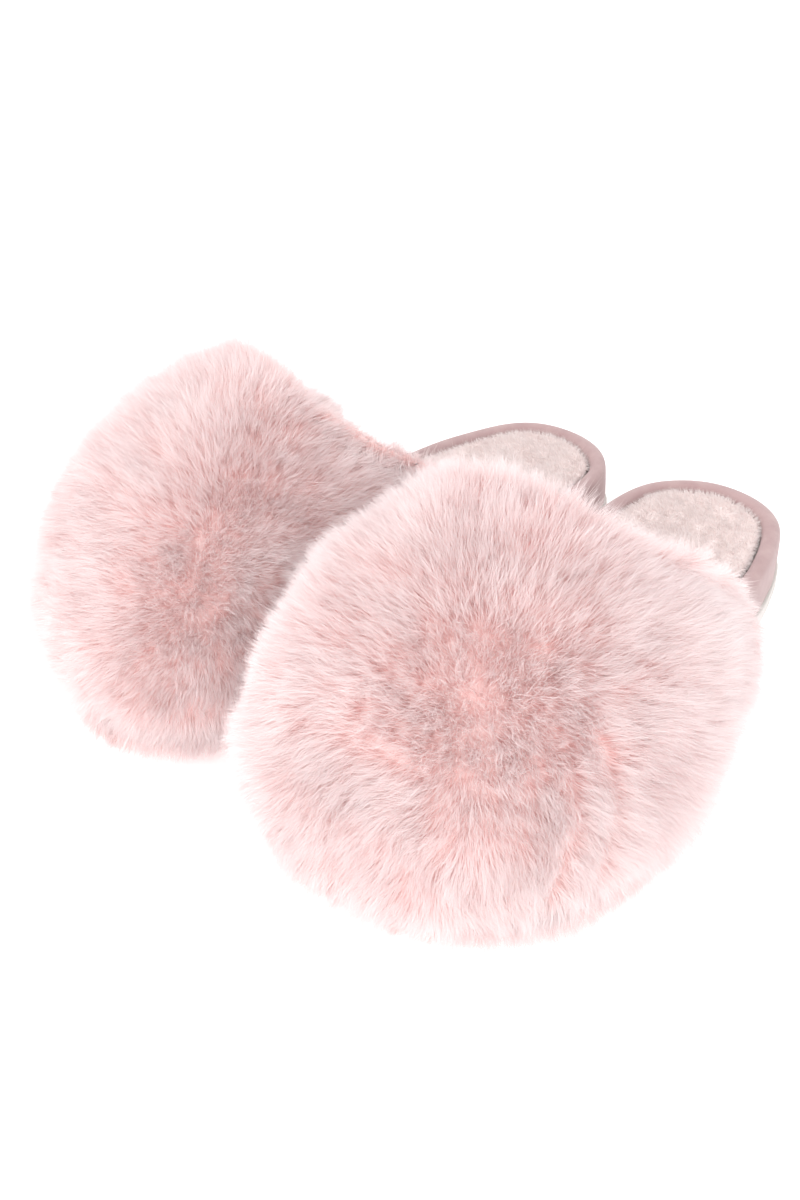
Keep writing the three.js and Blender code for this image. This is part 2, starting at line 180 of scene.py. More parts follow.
# %% [markdown]
# Every finish is a small tree of nodes. What several finishes share is a node group with named
# sockets: a soft mottle that moves a colour between two tones, as dye and handling do, and the
# fine crossed threads of a woven or knitted cloth.

# %% Helpers for materials
GRAIN_HEIGHT = 0.4 * MM

def add_node(tree, kind, **values):
    """A new node with some of its settings."""
    node = tree.nodes.new(kind)
    for name, value in values.items():
        setattr(node, name, value)
    return node

def group_sockets(group, inputs, outputs):
    """Names a node group's inputs, with their first values, and its outputs."""
    for name, kind, value in inputs:
        socket = group.interface.new_socket(name=name, in_out="INPUT", socket_type=kind)
        socket.default_value = value
    for name, kind in outputs:
        group.interface.new_socket(name=name, in_out="OUTPUT", socket_type=kind)

def mottle_group():
    """Two tones mixed by soft noise at a given scale."""
    group = bpy.data.node_groups.new("soft_mottle", "ShaderNodeTree")
    group_sockets(
        group,
        [
            ("Vector", "NodeSocketVector", (0, 0, 0)),
            ("Dark", "NodeSocketColor", (0.5, 0.5, 0.5, 1)),
            ("Light", "NodeSocketColor", (0.8, 0.8, 0.8, 1)),
            ("Scale", "NodeSocketFloat", 100),
        ],
        [("Color", "NodeSocketColor")],
    )
    start = add_node(group, "NodeGroupInput")
    end = add_node(group, "NodeGroupOutput")
    noise = add_node(group, "ShaderNodeTexNoise")
    noise.inputs["Detail"].default_value = 6
    noise.inputs["Roughness"].default_value = 0.6
    mask = add_node(group, "ShaderNodeMapRange")
    mask.inputs["From Min"].default_value = 0.3
    mask.inputs["From Max"].default_value = 0.7
    mix = add_node(group, "ShaderNodeMix", data_type="RGBA")
    link = group.links.new
    link(start.outputs["Vector"], noise.inputs["Vector"])
    link(start.outputs["Scale"], noise.inputs["Scale"])
    link(noise.outputs["Fac"], mask.inputs["Value"])
    link(mask.outputs["Result"], mix.inputs["Factor"])
    link(start.outputs["Dark"], mix.inputs[6])
    link(start.outputs["Light"], mix.inputs[7])
    link(mix.outputs[2], end.inputs["Color"])
    return group

MOTTLE = mottle_group()

def weave_group():
    """The height of a plain weave: two sets of crossed threads."""
    group = bpy.data.node_groups.new("plain_weave", "ShaderNodeTree")
    group_sockets(
        group,
        [("Vector", "NodeSocketVector", (0, 0, 0)), ("Threads", "NodeSocketFloat", 1000)],
        [("Height", "NodeSocketFloat")],
    )
    start = add_node(group, "NodeGroupInput")
    end = add_node(group, "NodeGroupOutput")
    link = group.links.new
    waves = []
    for direction in ("X", "Y"):
        wave = add_node(group, "ShaderNodeTexWave", bands_direction=direction)
        wave.inputs["Distortion"].default_value = 0.6
        wave.inputs["Detail"].default_value = 1
        link(start.outputs["Vector"], wave.inputs["Vector"])
        link(start.outputs["Threads"], wave.inputs["Scale"])
        waves.append(wave)
    crossed = add_node(group, "ShaderNodeMath", operation="MULTIPLY")
    link(waves[0].outputs["Fac"], crossed.inputs[0])
    link(waves[1].outputs["Fac"], crossed.inputs[1])
    link(crossed.outputs["Value"], end.inputs["Height"])
    return group

WEAVE = weave_group()

def new_material(name, roughness, sheen):
    """A material with its Principled shader, ready for colour and bump."""
    material = bpy.data.materials.new(name)
    material.use_nodes = True
    shader = material.node_tree.nodes["Principled BSDF"]
    shader.inputs["Roughness"].default_value = roughness
    shader.inputs["Specular IOR Level"].default_value = 0.25
    shader.inputs["Sheen Weight"].default_value = sheen
    shader.inputs["Sheen Roughness"].default_value = 0.6
    return material, material.node_tree, shader

def mottled_material(name, dark, light, scale, roughness, bump, bump_scale, sheen=0.0, threads=0):
    """A finish with soft mottle, and either a fine grain or a weave as its bump."""
    material, tree, shader = new_material(name, roughness, sheen)
    link = tree.links.new
    place = add_node(tree, "ShaderNodeTexCoord")
    mottle = add_node(tree, "ShaderNodeGroup", node_tree=MOTTLE)
    mottle.inputs["Dark"].default_value = (*dark, 1)
    mottle.inputs["Light"].default_value = (*light, 1)
    mottle.inputs["Scale"].default_value = scale
    link(place.outputs["Object"], mottle.inputs["Vector"])
    link(mottle.outputs["Color"], shader.inputs["Base Color"])
    height = add_node(tree, "ShaderNodeBump")
    height.inputs["Strength"].default_value = bump
    height.inputs["Distance"].default_value = GRAIN_HEIGHT
    if threads:
        grain = add_node(tree, "ShaderNodeGroup", node_tree=WEAVE)
        grain.inputs["Threads"].default_value = threads
        link(place.outputs["Object"], grain.inputs["Vector"])
        link(grain.outputs["Height"], height.inputs["Height"])
    else:
        grain = add_node(tree, "ShaderNodeTexNoise")
        grain.inputs["Scale"].default_value = bump_scale
        grain.inputs["Detail"].default_value = 4
        link(place.outputs["Object"], grain.inputs["Vector"])
        link(grain.outputs["Fac"], height.inputs["Height"])
    link(height.outputs["Normal"], shader.inputs["Normal"])
    return material

print("shared groups:", MOTTLE.name, WEAVE.name)

# %% [markdown]
# The floor is a plain pale sheet that the slippers stand on. It glows a little, as paper does
# that is lit from below, so shadows on it stay faint. It isn't part of the object.

# %% Floor
FLOOR_GLOW = 0.25
FLOOR_SIZE = 6

def add_floor():
    """The sheet of paper, which only serves the picture."""
    bpy.ops.mesh.primitive_plane_add(size=FLOOR_SIZE, location=(0, 0, 0))
    floor = bpy.context.active_object
    floor.name = "floor"
    paper = mottled_material(
        "floor_paper", (0.93, 0.93, 0.93), (0.94, 0.94, 0.94), 40, 0.9, 0.02, 900
    )
    shader = paper.node_tree.nodes["Principled BSDF"]
    shader.inputs["Emission Color"].default_value = (1, 1, 1, 1)
    shader.inputs["Emission Strength"].default_value = FLOOR_GLOW
    floor.data.materials.append(paper)
    floor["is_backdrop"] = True

bpy.ops.object.select_all(action="DESELECT")
add_floor()
print("floor:", FLOOR_SIZE, "m wide")

# %% [markdown]
# Pile is made of strands. A hair that's drawn as real mesh has to be cheap, because there are
# hundreds of thousands: a strip of two steps that narrows to a point, which is three triangles.
# Its own UV map carries its colour. U is the strand's tone, and V runs from root to tip, so one
# material can fade the colour along each strand and vary it from strand to strand. On the fur pile
# the deeper rose towards the root is painted shade of the pile's depth.
# Each strip faces outward, give or take a little turn, so it takes the light as the surface
# under it does, and a pale pile stays pale. Adding the strands one at a time would take
# minutes, so arrays hold all their corners at once.

# %% Strands as one mesh
STRAND_UV = "OFBake"
STRAND_UV_WIDTH = 0.01
STRAND_UV_MARGIN = 0.005
STRAND_ROOT_V, STRAND_BEND_V, STRAND_TIP_V = 0.02, 0.5, 0.98
STRAND_NARROWS = 0.9
STRAND_TURN = 0.35
RNG = np.random.default_rng(7)

def unit(vectors):
    """Each row's vector at length 1."""
    return vectors / np.maximum(np.linalg.norm(vectors, axis=1, keepdims=True), 1e-12)

def mesh_from_arrays(name, points, corners, sizes, uvs):
    """A mesh object from arrays: points, the faces' corners, how many each has, and UVs."""
    mesh = bpy.data.meshes.new(name)
    mesh.vertices.add(len(points))
    mesh.vertices.foreach_set("co", points.astype(np.float32).ravel())
    mesh.loops.add(len(corners))
    mesh.loops.foreach_set("vertex_index", corners.astype(np.int32))
    mesh.polygons.add(len(sizes))
    starts = np.concatenate([[0], np.cumsum(sizes)[:-1]])
    mesh.polygons.foreach_set("loop_start", starts.astype(np.int32))
    layer = mesh.uv_layers.new(name=STRAND_UV)
    layer.data.foreach_set("uv", uvs.astype(np.float32).ravel())
    mesh.update(calc_edges=True)
    piece = bpy.data.objects.new(name, mesh)
    bpy.context.scene.collection.objects.link(piece)
    return piece

def tone_u(tone):
    """The left side of a strand's strip in its UV map, for a tone from 0 to 1."""
    return STRAND_UV_MARGIN + tone * (1 - 2 * STRAND_UV_MARGIN - STRAND_UV_WIDTH)

def strand_mesh(name, root, bend, tip, width, tone, normal):
    """Strands through root, bend and tip, with a width at the root and a tone from 0 to 1."""
    count = len(root)
    along = unit(tip - root)
    facing = unit(normal + RNG.normal(0, STRAND_TURN, (count, 3)))
    across = unit(np.cross(along, facing))
    half = across * (width / 2)[:, None]
    upper = STRAND_NARROWS * half
    points = np.stack([root - half, root + half, bend - upper, bend + upper, tip], 1)
    face = np.array([0, 1, 3, 2, 2, 3, 4])
    corners = (np.arange(count)[:, None] * 5 + face).ravel()
    left = tone_u(tone)
    right = left + STRAND_UV_WIDTH
    v = [STRAND_ROOT_V] * 2 + [STRAND_BEND_V] * 4 + [STRAND_TIP_V]
    us = [left, right, right, left, left, right, (left + right) / 2]
    uvs = np.stack([np.stack([a, np.full(count, b)], 1) for a, b in zip(us, v)], 1)
    return mesh_from_arrays(name, points.reshape(-1, 3), corners, np.tile([4, 3], count), uvs)

def nap_mesh(name, root, tip, width, tone):
    """Short nap: one narrow triangle a strand."""
    count = len(root)
    across = unit(np.cross(tip - root, RNG.normal(size=(count, 3))))
    half = across * (width / 2)[:, None]
    points = np.stack([root - half, root + half, tip], 1)
    corners = np.arange(3 * count)
    u = tone_u(tone)
    us = [u, u + STRAND_UV_WIDTH, u + STRAND_UV_WIDTH / 2]
    v = [STRAND_ROOT_V] * 2 + [STRAND_TIP_V]
    uvs = np.stack([np.stack([a, np.full(count, b)], 1) for a, b in zip(us, v)], 1)
    return mesh_from_arrays(name, points.reshape(-1, 3), corners, np.full(count, 3), uvs)

def surface_arrays(piece):
    """A mesh's triangles as arrays: corner places, smooth corner normals and areas."""
    mesh = piece.data
    mesh.calc_loop_triangles()
    places = np.zeros(len(mesh.vertices) * 3, np.float32)
    mesh.vertices.foreach_get("co", places)
    normals = np.zeros(len(mesh.vertices) * 3, np.float32)
    mesh.vertices.foreach_get("normal", normals)
    index = np.zeros(len(mesh.loop_triangles) * 3, np.int32)
    mesh.loop_triangles.foreach_get("vertices", index)
    index = index.reshape(-1, 3)
    corners = places.reshape(-1, 3)[index].astype(float)
    cross = np.cross(corners[:, 1] - corners[:, 0], corners[:, 2] - corners[:, 0])
    return corners, normals.reshape(-1, 3)[index].astype(float), np.linalg.norm(cross, axis=1) / 2

def scatter(corners, normals, weights, count):
    """Random points on triangles, as many as count, with a weight for each triangle."""
    chosen = RNG.choice(len(weights), size=count, p=weights / weights.sum())
    a, b = RNG.random(count), RNG.random(count)
    over = a + b > 1
    a[over], b[over] = 1 - a[over], 1 - b[over]
    shares = np.stack([1 - a - b, a, b], 1)[:, :, None]
    return (corners[chosen] * shares).sum(1), unit((normals[chosen] * shares).sum(1)), chosen

def waves(points, size, count, seed):
    """Smooth noise from -1 to 1 at each point: sines that run in random directions."""
    rng = np.random.default_rng(seed)
    total = np.zeros(len(points))
    for _ in range(count):
        direction = rng.normal(size=3)
        direction *= rng.uniform(0.6, 1.6) / np.linalg.norm(direction)
        total += np.sin(points @ direction * (2 * math.pi / size) + rng.uniform(0, 2 * math.pi))
    return total / math.sqrt(count / 2) / 1.6

print("a hair takes 3 triangles, a strand of nap takes 1")

# %% [markdown]
# The pile grows from a knitted backing that is glued over the vamp's foam. Deep in the pile the
# hairs stand so close that no light gets through, so the lower part is one solid, the fur
# ground. It starts as a copy of the vamp's solid. A voxel remesh gives it even faces, smoothing
# takes off the corners, and its outer side then sinks by the length of the hair that shows,
# though never into the vamp, and not where the pile is folded in under the hem.

# %% Fur ground
VOXEL = 2.2 * MM
SMOOTH_TURNS = 14
PILE_SHOWS = 7.6 * MM
GROUND_SHARE = 0.62
LEAST_GROUND = 2.5 * MM
FACES_DOWN = -0.8
HEM_FOLD_TOP = 12 * MM

def copy_of(node, name):
    """A copy of a CAD node as a new piece, with the triangles' shared corners merged."""
    bpy.ops.object.select_all(action="DESELECT")
    piece = bpy.data.objects.new(name, NODES[node].data.copy())
    bpy.context.scene.collection.objects.link(piece)
    piece.data.materials.clear()
    bpy.context.view_layer.objects.active = piece
    piece.select_set(True)
    bpy.ops.object.mode_set(mode="EDIT")
    bpy.ops.mesh.select_all(action="SELECT")
    bpy.ops.mesh.remove_doubles(threshold=0.01 * MM)
    bpy.ops.mesh.customdata_custom_splitnormals_clear()
    bpy.ops.object.mode_set(mode="OBJECT")
    return piece

def apply_modifier(piece, kind, **values):
    """Adds one modifier to a piece and applies it."""
    modifier = piece.modifiers.new(kind.lower(), kind)
    for name, value in values.items():
        setattr(modifier, name, value)
    bpy.context.view_layer.objects.active = piece
    bpy.ops.object.modifier_apply(modifier=modifier.name)

def tree_of(node):
    """A search tree over a CAD node's faces."""
    mesh = NODES[node].data
    return BVHTree.FromPolygons([v.co for v in mesh.vertices], [p.vertices for p in mesh.polygons])

def fur_ground(prefix):
    """The dense lower pile and its backing. Each vertex keeps how far above the vamp it was."""
    piece = copy_of(prefix + "_fur_upper", prefix + "_fur_ground")
    apply_modifier(piece, "REMESH", mode="VOXEL", voxel_size=VOXEL)
    apply_modifier(piece, "SMOOTH", factor=0.5, iterations=SMOOTH_TURNS)
    vamp = tree_of(prefix + "_upper_interlining")
    mesh = piece.data
    above = np.array([vamp.find_nearest(v.co)[3] for v in mesh.vertices])
    sink = np.minimum(PILE_SHOWS, GROUND_SHARE * np.maximum(above - LEAST_GROUND, 0))
    normals = [v.normal.copy() for v in mesh.vertices]
    for vertex, normal, depth in zip(mesh.vertices, normals, sink):
        if normal.z > FACES_DOWN or vertex.co.z > HEM_FOLD_TOP:
            vertex.co -= normal * depth
    mesh.update()
    mesh.shade_smooth()
    attribute = mesh.attributes.new("above", "FLOAT", "POINT")
    attribute.data.foreach_set("value", above.astype(np.float32))
    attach(piece, prefix + "_slipper")
    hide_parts(prefix + "_fur_upper")
    print(piece.name, len(mesh.polygons), "faces")
    return piece

GROUNDS = {prefix: fur_ground(prefix) for prefix in SIDES}

# %% [markdown]
# Hair doesn't grow at random: it lies the way the maker combed it. It stands up along a whorl, a
# short line on the dome's crown, and lies flatter and flatter down the sides, away from that
# line, with slow eddies in it. Beside a parting it falls to both sides, and along the hem it
# hangs down. Neighbours cling together in locks, whose tips draw together. So locks are
# scattered first, each with its own way to lie, and the hairs of a lock are set round it.

# %% The pile's strands
# Where the whorl lies, from end to end, in the slipper's own frame.
WHORL = {
    "left": ((-0.001, -0.083, 0.086), (0.036, -0.066, 0.076)),
    "right": ((-0.029, -0.064, 0.080), (-0.044, -0.096, 0.052)),
}
LOCK_COUNT = 39000
HAIRS_IN_LOCK = 7
LOCK_SPREAD = 0.8 * MM
HAIR_LENGTH = 9.8 * MM
HAIR_WIDTH = 0.135 * MM
HEM_HEIGHT = {"left": 1.6 * MM, "right": 4.5 * MM}
HEM_UNEVEN = 0.4 * MM
# What varies by slow waves, as amount and size, and what varies from lock to lock or hair to
# hair. A few guard hairs are longer than the rest.
LENGTH_WAVE = (0.12, 26 * MM)
LENGTH_RIPPLE = (0.06, 8 * MM)
TONE_WAVE = (0.16, 30 * MM)
LOCK_LENGTH_VARIES = 0.06
LOCK_TONE_VARIES = 0.10
HAIR_LENGTH_VARIES = 0.13
HAIR_TONE_VARIES = 0.16
WIDTH_VARIES = (0.7, 1.25)
GUARD_HAIRS = 0.03
GUARD_HAIRS_LONGER = 0.22
# A hair leans less in its lower half, and clings to its lock's middle more at its tip.
LOWER_LEAN = 0.42
UPPER_LEAN = 0.08
CLING = (0.1, 0.6)
CLING_AT_BEND = 0.25
CLING_AT_TIP = 0.8
THICK_PILE = 16 * MM
THINNEST_PILE = 0.42
ROOT_DEPTH = 0.8 * MM
# No hair grows on the ground's inner side or under the hem.
BACKING_HEIGHT = 1.2 * MM
UNDERSIDE = -0.75
UNDERSIDE_TOP = 14 * MM
LIE_SEED = {"left": 11, "right": 29}
PILE_SEED = {"left": 41, "right": 53}
# How flat the pile lies: 0 stands up, 1 lies down.
CROWN_WIDTH = 12 * MM
CROWN_FADE = 95 * MM
CROWN_FLAT = 0.08
SIDES_FLATTER = 0.62
FLAT_WAVE = (0.16, 34 * MM)
LEAST_FLAT = 0.03
# The pile's way along the surface: its share of hanging down, and eddies as turn and size.
HANGS_DOWN = 0.8
EDDIES = ((0.75, 52 * MM), (0.5, 20 * MM))
SMALL_EDDY = (0.28, 9 * MM)
# Partings are lines of points in the slipper's own frame.
PARTINGS = {
    "left": (
        (
            (0.044, -0.088, 0.056), (0.047, -0.090, 0.046),
            (0.047, -0.096, 0.033), (0.045, -0.100, 0.023),
        ),
        (
            (0.046, -0.076, 0.062), (0.050, -0.077, 0.052),
            (0.052, -0.082, 0.037), (0.052, -0.087, 0.028),
        ),
    ),
    "right": (),
}
PARTING_REACH = 5.5 * MM
PARTING_BENDS = 0.6
PARTING_PUSH = 1.1
PARTING_FLATTER = 0.45
HEM_DROOP = 0.45
HEM_REACH = 28 * MM
LOCK_TILT = 0.13
HAIR_TILT = 0.12
PILE_BANDS = ("toe", "front", "middle", "back", "throat")

def beside_line(own, normal, prefix, line):
    """How far each place is from a line of points, and the way off it along the surface."""
    nearest = np.full(len(own), np.inf)
    away = np.zeros_like(own)
    for start, end in zip(line[:-1], line[1:]):
        along = end - start
        share = np.clip((own - start) @ along / (along @ along), 0, 1)
        offset = own - start - share[:, None] * along
        gap = np.linalg.norm(offset, axis=1)
        closer = gap < nearest
        nearest = np.where(closer, gap, nearest)
        away[closer] = offset[closer]
    away = to_row(prefix, away) - to_row(prefix, np.zeros((1, 3)))
    return nearest, unit(away - (away * normal).sum(1, keepdims=True) * normal)

def lie_of_pile(prefix, place, normal):
    """At each place on the ground: the way the pile lies along the surface, and how flat."""
    own = to_own(prefix, place)
    start, end = to_row(prefix, np.array(WHORL[prefix]))
    share = np.clip((place - start) @ (end - start) / ((end - start) @ (end - start)), 0, 1)
    away = place - start - share[:, None] * (end - start)
    far = np.linalg.norm(away, axis=1)
    flow = unit(away - (away * normal).sum(1, keepdims=True) * normal)
    drop = np.array([[0, 0, -1.0]]) - normal * (-normal[:, 2:3])
    flow = unit(flow + HANGS_DOWN * drop)
    across = np.cross(normal, flow)
    seed = LIE_SEED[prefix]
    turn = sum(amount * waves(own, size, 6, seed + i) for i, (amount, size) in enumerate(EDDIES))
    turn = turn + SMALL_EDDY[0] * waves(own, SMALL_EDDY[1], 6, seed + 3)
    flow = flow * np.cos(turn)[:, None] + across * np.sin(turn)[:, None]
    flat = np.clip((far - CROWN_WIDTH) / CROWN_FADE, 0, 1)
    flat = CROWN_FLAT + SIDES_FLATTER * flat
    flat = flat + FLAT_WAVE[0] * waves(own, FLAT_WAVE[1], 6, seed + 2)
    flat = flat + HEM_DROOP * np.clip(1 - own[:, 2] / HEM_REACH, 0, 1)
    for parting in PARTINGS[prefix]:
        gap, beside = beside_line(own, normal, prefix, np.array(parting))
        near = np.exp(-(gap / PARTING_REACH) ** 2)
        kept = flow * (1 - PARTING_BENDS * near)[:, None]
        flow = unit(kept + beside * (PARTING_PUSH * near)[:, None])
        flat = flat + PARTING_FLATTER * near
    return flow, np.clip(flat, LEAST_FLAT, 1)

def grow_pile(prefix):
    """All the hairs of one slipper, lock by lock, in five pieces from toe to throat."""
    ground = GROUNDS[prefix]
    corners, normals, areas = surface_arrays(ground)
    above = np.zeros(len(ground.data.vertices), np.float32)
    ground.data.attributes["above"].data.foreach_get("value", above)
    index = np.zeros(len(ground.data.loop_triangles) * 3, np.int32)
    ground.data.loop_triangles.foreach_get("vertices", index)
    height = above[index.reshape(-1, 3)].mean(1)
    middle = corners.mean(1)
    outward = normals.mean(1)
    under = (outward[:, 2] < UNDERSIDE) & (middle[:, 2] < UNDERSIDE_TOP)
    outer = (height > BACKING_HEIGHT) & ~under
    place, normal, chosen = scatter(corners, normals, areas * outer, LOCK_COUNT)
    height_at = height[chosen]
    flow, flat = lie_of_pile(prefix, place, normal)
    own = to_own(prefix, place)
    seed = PILE_SEED[prefix]
    thin = np.clip(height_at / THICK_PILE, THINNEST_PILE, 1)
    length = 1 + LENGTH_WAVE[0] * waves(own, LENGTH_WAVE[1], 5, seed)
    length = length + LENGTH_RIPPLE[0] * waves(own, LENGTH_RIPPLE[1], 5, seed + 4)
    length = length + RNG.normal(0, LOCK_LENGTH_VARIES, LOCK_COUNT)
    length = HAIR_LENGTH * thin * length
    lock_tone = 0.5 + TONE_WAVE[0] * waves(own, TONE_WAVE[1], 5, seed + 1)
    lock_tone = lock_tone + RNG.normal(0, LOCK_TONE_VARIES, LOCK_COUNT)
    across = np.cross(normal, flow)

    def lean(angle, tilt):
        """Ways out of the surface, leant along the flow by an angle and a lock's own tilt."""
        way = normal * np.cos(angle)[:, None] + flow * np.sin(angle)[:, None]
        return unit(way + flow * tilt[:, :1] + across * tilt[:, 1:])

    tilt = RNG.normal(0, LOCK_TILT, (LOCK_COUNT, 2))
    half = (length / 2)[:, None]
    lock_bend = place + lean(LOWER_LEAN * flat, tilt) * half
    lock_tip = lock_bend + lean(UPPER_LEAN + flat, 1.5 * tilt) * half

    many = np.repeat(np.arange(LOCK_COUNT), HAIRS_IN_LOCK)
    count = len(many)
    spread = RNG.normal(0, LOCK_SPREAD, (count, 2))
    root = place[many] + flow[many] * spread[:, :1] + across[many] * spread[:, 1:]
    own_length = RNG.normal(1, HAIR_LENGTH_VARIES, count)
    own_length = (own_length + (RNG.random(count) < GUARD_HAIRS) * GUARD_HAIRS_LONGER)[:, None]
    shift = root - place[many]
    cling = RNG.uniform(*CLING, count)[:, None]
    stray = RNG.normal(0, HAIR_TILT, (count, 3)) * half[many]
    bend = root + (lock_bend - place)[many] * own_length - shift * cling * CLING_AT_BEND
    tip = root + (lock_tip - place)[many] * own_length - shift * cling * CLING_AT_TIP
    bend += stray * 0.5
    tip += stray * 1.5
    root = root - normal[many] * ROOT_DEPTH
    hem = HEM_HEIGHT[prefix]
    tip[:, 2] = np.maximum(tip[:, 2], hem + RNG.normal(0, HEM_UNEVEN, count))
    bend[:, 2] = np.maximum(bend[:, 2], hem)
    tone = np.clip(lock_tone[many] + RNG.normal(0, HAIR_TONE_VARIES, count), 0, 1)
    width = HAIR_WIDTH * RNG.uniform(*WIDTH_VARIES, count)

    order = np.argsort(own[many, 1], kind="stable")
    for name, part in zip(PILE_BANDS, np.array_split(order, len(PILE_BANDS))):
        piece = strand_mesh(
            prefix + "_pile_" + name, root[part], bend[part], tip[part],
            width[part], tone[part], normal[many[part]],
        )
        piece.data.materials.append(PILE_FINISH)
        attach(piece, prefix + "_slipper")
        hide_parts(prefix + "_fur_upper")
    print(prefix, "pile:", count, "hairs on", round(float((areas * outer).sum()) / MM**2), "mm2")

def strand_material(name, root, middle, tip, tones, roughness, sheen):
    """Colour along a strand by V, and from strand to strand by U."""
    material, tree, shader = new_material(name, roughness, sheen)
    link = tree.links.new
    uv = add_node(tree, "ShaderNodeUVMap", uv_map=STRAND_UV)
    split = add_node(tree, "ShaderNodeSeparateXYZ")
    along = add_node(tree, "ShaderNodeValToRGB")
    ramp = along.color_ramp
    ramp.elements[0].color = (*root, 1)
    ramp.elements[1].color = (*tip, 1)
    ramp.elements[1].position = 0.85
    half = ramp.elements.new(0.45)
    half.color = (*middle, 1)
    tone = add_node(tree, "ShaderNodeValToRGB")
    tone.color_ramp.elements[0].color = (*tones[0], 1)
    tone.color_ramp.elements[1].color = (*tones[1], 1)
    mix = add_node(tree, "ShaderNodeMix", data_type="RGBA", blend_type="MULTIPLY")
    mix.inputs["Factor"].default_value = 1
    link(uv.outputs["UV"], split.inputs["Vector"])
    link(split.outputs["Y"], along.inputs["Fac"])
    link(split.outputs["X"], tone.inputs["Fac"])
    link(along.outputs["Color"], mix.inputs[6])
    link(tone.outputs["Color"], mix.inputs[7])
    link(mix.outputs[2], shader.inputs["Base Color"])
    return material

# The pile fades from a deep rose root through a pink middle to a pale tip. The deeper rose is
# painted shade of the dense pile, where little light gets in.
PILE_FINISH = strand_material(
    "faux_fur_pile", (0.96, 0.66, 0.63), (0.97, 0.845, 0.838), (0.93, 0.866, 0.868),
    ((0.94, 0.91, 0.91), (1, 1, 1)), 0.7, 0.3,
)
# The fur ground's deep rose is painted shade of the dense lower pile, as on the strands' roots.
GROUND_FINISH = mottled_material(
    "faux_fur_ground", (0.93, 0.70, 0.68), (0.95, 0.77, 0.75), 300, 0.9, 0.8, 2500, 0.2
)
for prefix in SIDES:
    GROUNDS[prefix].data.materials.append(GROUND_FINISH)
    grow_pile(prefix)

# %% [markdown]
# The footbed is a soft pad under a short plush. The pad starts as a copy of its flat solid. Its
# top is inset three times and each ring raised, so the middle crowns and the edge rolls down
# towards the rim. The whole pad then swells a little, as a cushion does that is squeezed into
# its rim, and a subdivision surface rounds it. The plush itself is a nap of short strands that
# lean to the toe, in slow drifts, as feet leave them.

# %% Footbed
THROAT_Y = -22 * MM
COVERED_REACH = 16 * MM
PAD_DROP = 1.4 * MM
PAD_ROLL = 1.6 * MM
PAD_CROWN = 0.5 * MM
PAD_RINGS = ((0.3 * PAD_ROLL, 0.8 * MM), (PAD_ROLL, 0.4 * MM), (9 * MM, PAD_CROWN))
PAD_SQUEEZE = 0.8 * MM
NAP_LENGTH = 2.9 * MM
NAP_WIDTH = 0.24 * MM
NAP_COUNT_OPEN = 62000
NAP_COUNT_COVERED = 14000
NAP_ROOT_DEPTH = 0.3 * MM
NAP_DRIFT = 22 * MM
NAP_EDDY = 7 * MM
NAP_LEAN = 0.75
NAP_STRAYS = 0.3
NAP_SEED = {"left": 71, "right": 83}

def select_faces(piece, wanted):
    """In edit mode: selects the faces for which wanted(normal, middle) holds."""
    bm = bmesh.from_edit_mesh(piece.data)
    for face in bm.faces:
        face.select_set(bool(wanted(face.normal, face.calc_center_median())))
    bm.select_flush_mode()
    bmesh.update_edit_mesh(piece.data)

def edit(piece):
    """Opens one piece in edit mode, by faces."""
    bpy.ops.object.select_all(action="DESELECT")
    bpy.context.view_layer.objects.active = piece
    piece.select_set(True)
    bpy.ops.object.mode_set(mode="EDIT")
    bpy.ops.mesh.select_mode(type="FACE")

def soft_pad(prefix):
    """The footbed's pad, with a crowned top and a rolled edge."""
    piece = copy_of(prefix + "_footbed_plush", prefix + "_footbed_pad")
    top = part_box(prefix + "_footbed_plush")[1].z
    edit(piece)
    bpy.ops.mesh.select_all(action="SELECT")
    bpy.ops.mesh.dissolve_limited(angle_limit=math.radians(1))
    select_faces(piece, lambda normal, middle: normal.z > 0.9)
    bpy.ops.transform.translate(value=(0, 0, -PAD_DROP))
    for inset, rise in PAD_RINGS:
        bpy.ops.mesh.inset(thickness=inset)
        bpy.ops.transform.translate(value=(0, 0, rise))
    bpy.ops.object.mode_set(mode="OBJECT")
    apply_modifier(piece, "DISPLACE", strength=PAD_SQUEEZE, mid_level=0)
    apply_modifier(piece, "SUBSURF", levels=2, render_levels=2)
    piece.data.shade_smooth()
    piece.data.materials.append(PAD_FINISH)
    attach(piece, prefix + "_slipper")
    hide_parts(prefix + "_footbed_plush")
    print(piece.name, len(piece.data.polygons), "faces, top at", round(top / MM, 1), "mm")
    return piece

def brush_nap(piece, weights, count, length, width, toward, seed):
    """Short strands on a piece's surface that lean along toward, in slow drifts."""
    corners, normals, areas = surface_arrays(piece)
    wanted = weights(corners.mean(1), normals.mean(1))
    place, normal, _ = scatter(corners, normals, areas * wanted, count)
    drift = waves(place, NAP_DRIFT, 6, seed)
    turn = 0.9 * drift + 0.5 * waves(place, NAP_EDDY, 6, seed + 1)
    side = np.cross(normal, toward)
    lean = toward * np.cos(turn)[:, None] + side * np.sin(turn)[:, None]
    lean = unit(lean - (lean * normal).sum(1, keepdims=True) * normal)
    strays = RNG.normal(0, NAP_STRAYS, (count, 3))
    way = unit(normal + lean * (NAP_LEAN + 0.3 * drift)[:, None] + strays)
    tip = place + way * (length * RNG.uniform(0.65, 1.15, count))[:, None]
    tone = np.clip(0.5 + 0.3 * drift + RNG.normal(0, 0.22, count), 0, 1)
    return place - normal * NAP_ROOT_DEPTH, tip, width * RNG.uniform(0.7, 1.3, count), tone

